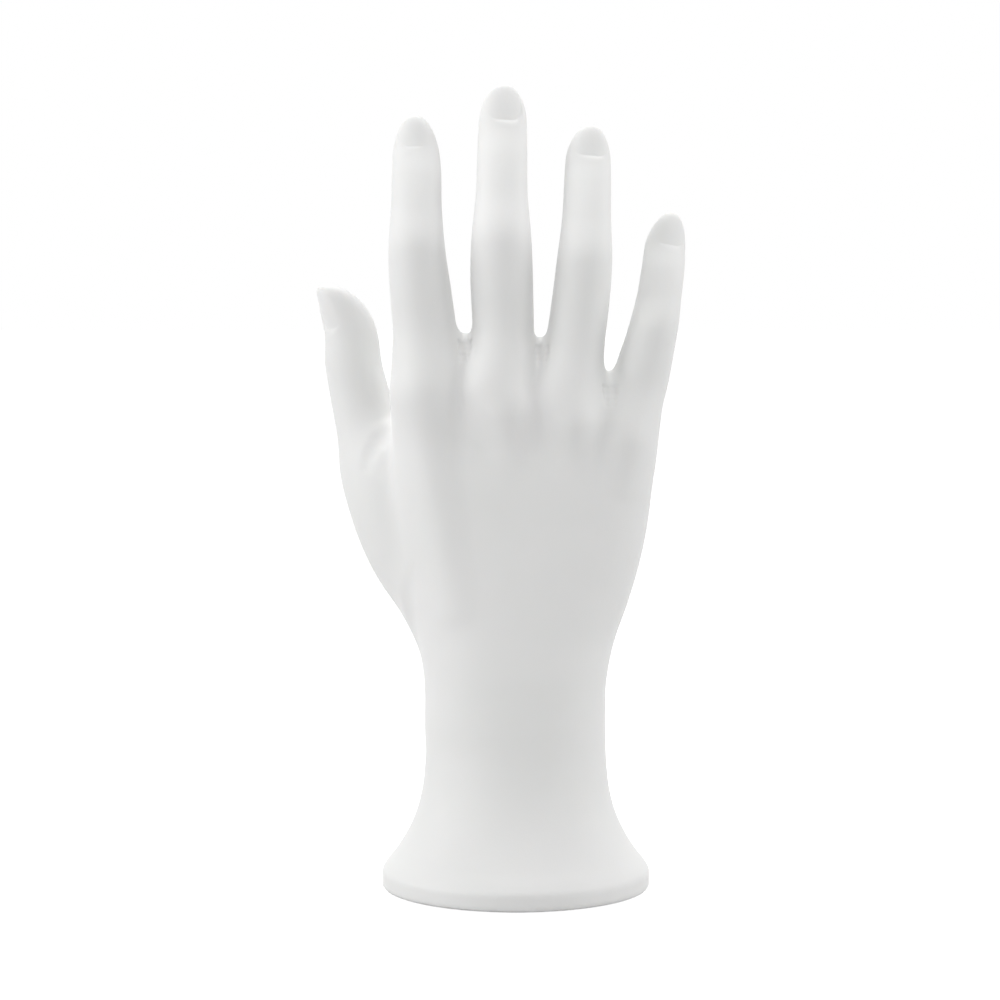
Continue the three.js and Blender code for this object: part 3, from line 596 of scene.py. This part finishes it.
def cell_vertices(values, low, cell):
    """One point in each cell that the surface crosses, at the mean of its crossings, and a grid with the
    number of each cell's point."""
    solid = values < 0
    n = values.shape
    inside = np.zeros([k - 1 for k in n], int)
    for corner in np.ndindex(2, 2, 2):
        inside += solid[tuple(slice(c, n[k] - 1 + c) for k, c in enumerate(corner))]
    crossed = (inside > 0) & (inside < 8)
    cells = np.argwhere(crossed)
    numbers = np.full(crossed.shape, -1)
    numbers[crossed] = np.arange(len(cells))
    total, count = np.zeros((len(cells), 3)), np.zeros(len(cells))
    for axis in range(3):
        for side in np.ndindex(2, 2):
            start = np.insert(side, axis, 0)
            end = start.copy()
            end[axis] = 1
            a, b = values[tuple((cells + start).T)], values[tuple((cells + end).T)]
            cut = (a < 0) != (b < 0)
            where = np.broadcast_to(start, (len(cells), 3)).astype(float)
            where[:, axis] = np.where(cut, a / np.where(cut, a - b, 1), 0)
            total += np.where(cut[:, None], where, 0)
            count += cut
    return (cells + total / count[:, None]) * cell + low, numbers


def crossing_faces(values, numbers):
    """Four-sided faces, one round each grid edge that the surface crosses, facing outward."""
    solid = values < 0
    n = values.shape
    faces = []
    for axis in range(3):
        u, v = (axis + 1) % 3, (axis + 2) % 3
        first = solid[tuple(slice(0, n[k] - 1) if k == axis else slice(1, n[k] - 1) for k in range(3))]
        second = solid[tuple(slice(1, n[k]) if k == axis else slice(1, n[k] - 1) for k in range(3))]
        for flip, crossing in ((False, first & ~second), (True, ~first & second)):
            edges = np.argwhere(crossing) + np.insert([1, 1], axis, 0)
            corners = []
            for du, dv in ((1, 1), (0, 1), (0, 0), (1, 0)):
                cell = edges.copy()
                cell[:, u] -= du
                cell[:, v] -= dv
                corners.append(numbers[tuple(cell.T)])
            found = np.stack(corners, 1)
            faces.append(found[:, ::-1] if flip else found)
    return np.concatenate(faces)


def settle(distance, points, reach):
    """Moves points along the slope of the distance onto the surface, by no more than reach."""
    home = points.copy()
    for _ in range(SETTLE_PASSES):
        slope = slope_of(distance, points)
        step = distance(points) / np.maximum((slope ** 2).sum(1), LEAST_SLOPE)
        moved = points - step[:, None] * slope - home
        length = np.linalg.norm(moved, axis=1, keepdims=True)
        points = home + moved * np.minimum(1, reach / np.maximum(length, TINY))
    return points


def surface(distance, low, high, cell):
    """Points and faces of the surface where the distance is zero, in the box from low to high."""
    counts = np.ceil((np.array(high) - low) / cell).astype(int) + 1
    values = sample_near_surface(distance, np.array(low), cell, counts)
    points, numbers = cell_vertices(values, np.array(low), cell)
    return settle(distance, points, cell), crossing_faces(values, numbers)


def mesh_object(name, points, faces):
    """A smooth piece from points in millimetres."""
    mesh = bpy.data.meshes.new(name)
    mesh.from_pydata((points * MM).tolist(), [], faces)
    mesh.polygons.foreach_set("use_smooth", np.ones(len(mesh.polygons), bool))
    mesh.validate()
    mesh.update()
    piece = bpy.data.objects.new(name, mesh)
    bpy.context.scene.collection.objects.link(piece)
    return piece


def points_of(mesh):
    flat = np.empty(len(mesh.vertices) * 3)
    mesh.vertices.foreach_get("co", flat)
    return flat.reshape(-1, 3) / MM


def split_at_edges(piece, distance):
    """Splits the faces at the nails' edges, in the creases and, once, round the recess for the pad, so
    that these are crisp, and settles the new points."""
    for level, cells in enumerate(SPLIT_REACHES):
        edit = bmesh.new()
        edit.from_mesh(piece.data)
        points = np.array([v.co for v in edit.verts]) / MM
        reach = cells * CELL
        near = np.zeros(len(points), bool)
        for nail in NAILS:
            _, out, along = nail.coordinates(points)
            close = (along > -NAIL_ZONE_BEFORE) & (along < nail.length + NAIL_ZONE_BEYOND)
            close &= np.abs(out) < NAIL_ZONE_HEIGHT
            near |= close & (np.abs(nail.edge(points)) < reach)
        for crease in CREASES:
            near |= crease.distance(points) < reach / CREASE_NARROWING
        if level == 0:
            near |= at_recess(points, CELL)
        edit.verts.ensure_lookup_table()
        found = {e for v, n in zip(edit.verts, near) if n for e in v.link_edges}
        edges = sorted(found, key=lambda edge: edge.index)
        bmesh.ops.subdivide_edges(edit, edges=edges, cuts=1, use_grid_fill=True)
        edit.to_mesh(piece.data)
        edit.free()
        points = points_of(piece.data)
        moving = np.zeros(len(points), bool)
        for nail in NAILS:
            moving |= np.linalg.norm(points - nail.base, axis=1) < NAIL_ZONE_RADIUS
        for crease in CREASES:
            moving |= crease.near(points, CREASE_REACH)
        moving |= at_recess(points, 2 * CELL)
        points[moving] = settle(distance, points[moving], CELL / 2)
        piece.data.vertices.foreach_set("co", (points * MM).ravel())
    piece.data.polygons.foreach_set("use_smooth", np.ones(len(piece.data.polygons), bool))
    piece.data.update()


# Materials

# The two tones that each material drifts between
RESIN_TONES = ((0.853, 0.856, 0.846), (0.869, 0.868, 0.862))
FOAM_TONES = ((0.56, 0.56, 0.54), (0.67, 0.67, 0.65))

# The part of a noise's values that is spread over the whole range of a roughness
NOISE_LOW, NOISE_HIGH = 0.35, 0.65


def add_node(tree, kind, **inputs):
    """A new node with the values of its sockets; a _ stands for the space in a socket's name."""
    node = tree.nodes.new(kind)
    for socket, value in inputs.items():
        node.inputs[socket.replace("_", " ")].default_value = value
    return node


class Nodes:
    """Adds nodes to a material and links them by socket name."""

    def __init__(self, name):
        self.material = bpy.data.materials.new(name)
        self.material.use_nodes = True
        self.tree = self.material.node_tree
        self.shader = self.tree.nodes["Principled BSDF"]

    def add(self, kind, **inputs):
        return add_node(self.tree, kind, **inputs)

    def link(self, node, output, target, socket):
        self.tree.links.new(node.outputs[output], target.inputs[socket])

    def noise(self, scale, detail, roughness=0.5):
        place = self.add("ShaderNodeTexCoord")
        noise = self.add("ShaderNodeTexNoise", Scale=scale, Detail=detail, Roughness=roughness)
        self.link(place, "Object", noise, "Vector")
        return noise

    def ramp(self, source, low, high, colours):
        ramp = self.add("ShaderNodeValToRGB")
        ramp.color_ramp.elements[0].position = low
        ramp.color_ramp.elements[1].position = high
        for element, colour in zip(ramp.color_ramp.elements, colours):
            element.color = (*colour, 1)
        self.link(source, "Fac", ramp, "Fac")
        return ramp

    def spread(self, source, low, high):
        """Takes the middle of a noise to the range from low to high."""
        spread = self.add(
            "ShaderNodeMapRange", From_Min=NOISE_LOW, From_Max=NOISE_HIGH, To_Min=low, To_Max=high)
        self.link(source, "Fac", spread, "Value")
        return spread

    def bump(self, source, strength, depth, under=None):
        bump = self.add("ShaderNodeBump", Strength=strength, Distance=depth)
        self.link(source, "Fac", bump, "Height")
        if under:
            self.link(under, "Normal", bump, "Normal")
        return bump


def resin_material():
    """Cast resin with a matt white coat: a faint warm and cool cloudiness and a fine eggshell grain."""
    nodes = Nodes("white_resin")
    cloud = nodes.ramp(nodes.noise(scale=38, detail=2), low=0.38, high=0.62, colours=RESIN_TONES)
    nodes.link(cloud, "Color", nodes.shader, "Base Color")
    sheen = nodes.spread(nodes.noise(scale=260, detail=3), low=0.56, high=0.66)
    nodes.link(sheen, "Result", nodes.shader, "Roughness")
    uneven = nodes.bump(nodes.noise(scale=180, detail=3), strength=0.25, depth=0.12 * MM)
    fine = nodes.noise(scale=2400, detail=2, roughness=0.6)
    grain = nodes.bump(fine, strength=0.3, depth=0.03 * MM, under=uneven)
    nodes.link(grain, "Normal", nodes.shader, "Normal")
    nodes.shader.inputs["IOR"].default_value = 1.5
    nodes.shader.inputs["Subsurface Weight"].default_value = 0.08
    nodes.shader.inputs["Subsurface Radius"].default_value = (1, 0.85, 0.7)
    nodes.shader.inputs["Subsurface Scale"].default_value = 1.2 * MM
    return nodes.material


def foam_material():
    """Closed-cell foam: a pale grey sheet with fine open pores."""
    nodes = Nodes("pad_foam")
    tone = nodes.ramp(nodes.noise(scale=900, detail=3), low=0.36, high=0.64, colours=FOAM_TONES)
    nodes.link(tone, "Color", nodes.shader, "Base Color")
    sheen = nodes.spread(nodes.noise(scale=1400, detail=2), low=0.84, high=0.96)
    nodes.link(sheen, "Result", nodes.shader, "Roughness")
    fine = nodes.noise(scale=1700, detail=3, roughness=0.65)
    pores = nodes.bump(fine, strength=0.8, depth=0.15 * MM)
    nodes.link(pores, "Normal", nodes.shader, "Normal")
    return nodes.material


# Pieces

def add_hand():
    points, faces = surface(casting_distance, BOX_LOW, BOX_HIGH, CELL)
    piece = mesh_object("cast_hand", points, faces.tolist())
    split_at_edges(piece, casting_distance)
    piece.data.materials.append(resin_material())
    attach(piece, "root")
    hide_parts("hand_casting")


def foam_hollow(x, y, r):
    """How far the foam's face is sunk in at a place and its distance from the middle."""
    waves = math.prod(math.sin(across * x + along * y + start) for across, along, start in FOAM_WAVES)
    inside = (PAD_DIAMETER / 2 - FOAM_MARGIN - r) / FOAM_SLOPE
    return FOAM_UNEVENNESS * (1 + waves) * min(1, max(0, inside))


def pad_mesh():
    """Points and faces of a die-cut foam disc with soft cut edges and slight hollows in both faces."""
    radius = PAD_DIAMETER / 2
    edge = [(radius - inset, depth) for inset, depth in PAD_EDGE]
    edge += [(radius - inset, PAD_THICKNESS - depth) for inset, depth in reversed(PAD_EDGE)]
    inner = [edge[0][0] * k / PAD_RINGS for k in range(1, PAD_RINGS)]
    profile = [(r, 0) for r in inner] + edge + [(r, PAD_THICKNESS) for r in reversed(inner)]
    points = [(0, 0, foam_hollow(0, 0, 0))]
    for r, z in profile:
        for side in range(PAD_SIDES):
            angle = 2 * math.pi * side / PAD_SIDES
            x, y = r * math.cos(angle), r * math.sin(angle)
            inward = foam_hollow(x, y, r)
            points.append((x, y, z + (inward if z < PAD_THICKNESS / 2 else -inward)))
    points.append((0, 0, PAD_THICKNESS - foam_hollow(0, 0, 0)))
    last = len(points) - 1
    faces = []
    for start in range(1, last - PAD_SIDES, PAD_SIDES):
        for side in range(PAD_SIDES):
            a, b = start + side, start + (side + 1) % PAD_SIDES
            faces.append((a, b, b + PAD_SIDES, a + PAD_SIDES))
    for side in range(PAD_SIDES):
        following = (side + 1) % PAD_SIDES
        faces.append((0, 1 + following, 1 + side))
        faces.append((last, last - PAD_SIDES + side, last - PAD_SIDES + following))
    return np.array(points), faces


def add_pad():
    piece = mesh_object("foam_pad", *pad_mesh())
    piece.data.materials.append(foam_material())
    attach(piece, "root")
    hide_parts("base_pad")


add_hand()
add_pad()


# Floor, light and camera

# Level of the light round the object and of the floor
AMBIENT = 0.41
FLOOR_LIFT = 0.95
FLOOR_PAINT = (0.5, 0.5, 0.5)
FLOOR_WIDTH = 6

# Square lamps aimed at the hand: name, place and width in metres, and power in watts
SOFT_BOXES = [
    ("left_soft_box", (-1.2, -0.18, 0.53), 0.8, 7.1),
    ("right_soft_box", (1.19, 0.04, 0.52), 0.8, 5),
    ("left_front_soft_box", (-0.74, -1.06, 0.4), 0.8, 2.3),
    ("right_front_soft_box", (0.74, -1.06, 0.4), 0.8, 2.5),
    ("top_soft_box", (0, 0.21, 0.655), 0.4, 2.15),
]

# The camera looks at the middle of the object from 0.6 m, 5 degrees above level.
AIM = Vector((-2.965, 0, 72.9)) * MM
CAMERA_DISTANCE = 600 * MM
CAMERA_PITCH = 5
CAMERA_NEAR = 10 * MM
LENS = 116.2
SENSOR_WIDTH = 36


def seen_directly(tree):
    """1 for the camera and what mirrors and glass show of it, 0 for light that falls on the object."""
    path = add_node(tree, "ShaderNodeLightPath")
    seen = path.outputs["Is Camera Ray"]
    for other in ("Is Glossy Ray", "Is Transmission Ray"):
        either = add_node(tree, "ShaderNodeMath")
        either.operation = "MAXIMUM"
        tree.links.new(seen, either.inputs[0])
        tree.links.new(path.outputs[other], either.inputs[1])
        seen = either.outputs[0]
    return seen


def add_floor():
    """A wide white floor that catches the object's shadow and glows only where it is seen directly."""
    mesh = bpy.data.meshes.new("floor")
    half = FLOOR_WIDTH / 2
    corners = [(-half, -half, 0), (half, -half, 0), (half, half, 0), (-half, half, 0)]
    mesh.from_pydata(corners, [], [(0, 1, 2, 3)])
    plane = bpy.data.objects.new("floor", mesh)
    bpy.context.scene.collection.objects.link(plane)
    material = bpy.data.materials.new("white_floor")
    material.use_nodes = True
    tree = material.node_tree
    tree.nodes.clear()
    paint = add_node(tree, "ShaderNodeBsdfDiffuse", Color=(*FLOOR_PAINT, 1))
    none = add_node(tree, "ShaderNodeEmission", Strength=0)
    glow = add_node(tree, "ShaderNodeEmission", Strength=FLOOR_LIFT)
    shown = add_node(tree, "ShaderNodeMixShader")
    tree.links.new(seen_directly(tree), shown.inputs[0])
    tree.links.new(none.outputs[0], shown.inputs[1])
    tree.links.new(glow.outputs[0], shown.inputs[2])
    both = add_node(tree, "ShaderNodeAddShader")
    tree.links.new(paint.outputs[0], both.inputs[0])
    tree.links.new(shown.outputs[0], both.inputs[1])
    output = add_node(tree, "ShaderNodeOutputMaterial")
    tree.links.new(both.outputs[0], output.inputs["Surface"])
    plane.data.materials.append(material)


def add_world_light():
    """A white room that lights the object at the ambient level and shows white behind it."""
    world = bpy.data.worlds.new("studio")
    bpy.context.scene.world = world
    world.use_nodes = True
    tree = world.node_tree
    tree.nodes.clear()
    room = add_node(tree, "ShaderNodeBackground", Color=(1, 1, 1, 1), Strength=AMBIENT)
    white = add_node(tree, "ShaderNodeBackground", Color=(1, 1, 1, 1))
    shown = add_node(tree, "ShaderNodeMixShader")
    tree.links.new(seen_directly(tree), shown.inputs[0])
    tree.links.new(room.outputs[0], shown.inputs[1])
    tree.links.new(white.outputs[0], shown.inputs[2])
    output = add_node(tree, "ShaderNodeOutputWorld")
    tree.links.new(shown.outputs[0], output.inputs["Surface"])


def add_soft_box(name, place, width, power):
    light = bpy.data.lights.new(name, "AREA")
    light.shape = "SQUARE"
    light.size = width
    light.energy = power
    lamp = bpy.data.objects.new(name, light)
    lamp.location = place
    lamp.rotation_euler = (AIM - Vector(place)).to_track_quat("-Z", "Y").to_euler()
    lamp.visible_camera = False
    bpy.context.scene.collection.objects.link(lamp)


def add_camera():
    data = bpy.data.cameras.new("camera")
    data.sensor_width = SENSOR_WIDTH
    data.lens = LENS
    data.clip_start = CAMERA_NEAR
    camera = bpy.data.objects.new("camera", data)
    pitch = math.radians(CAMERA_PITCH)
    back = Vector((0, -math.cos(pitch), math.sin(pitch)))
    camera.location = AIM + CAMERA_DISTANCE * back
    camera.rotation_euler = (AIM - camera.location).to_track_quat("-Z", "Y").to_euler()
    bpy.context.scene.collection.objects.link(camera)
    bpy.context.scene.camera = camera


add_floor()
add_world_light()
for box in SOFT_BOXES:
    add_soft_box(*box)
add_camera()
bpy.context.scene.view_settings.view_transform = "Standard"
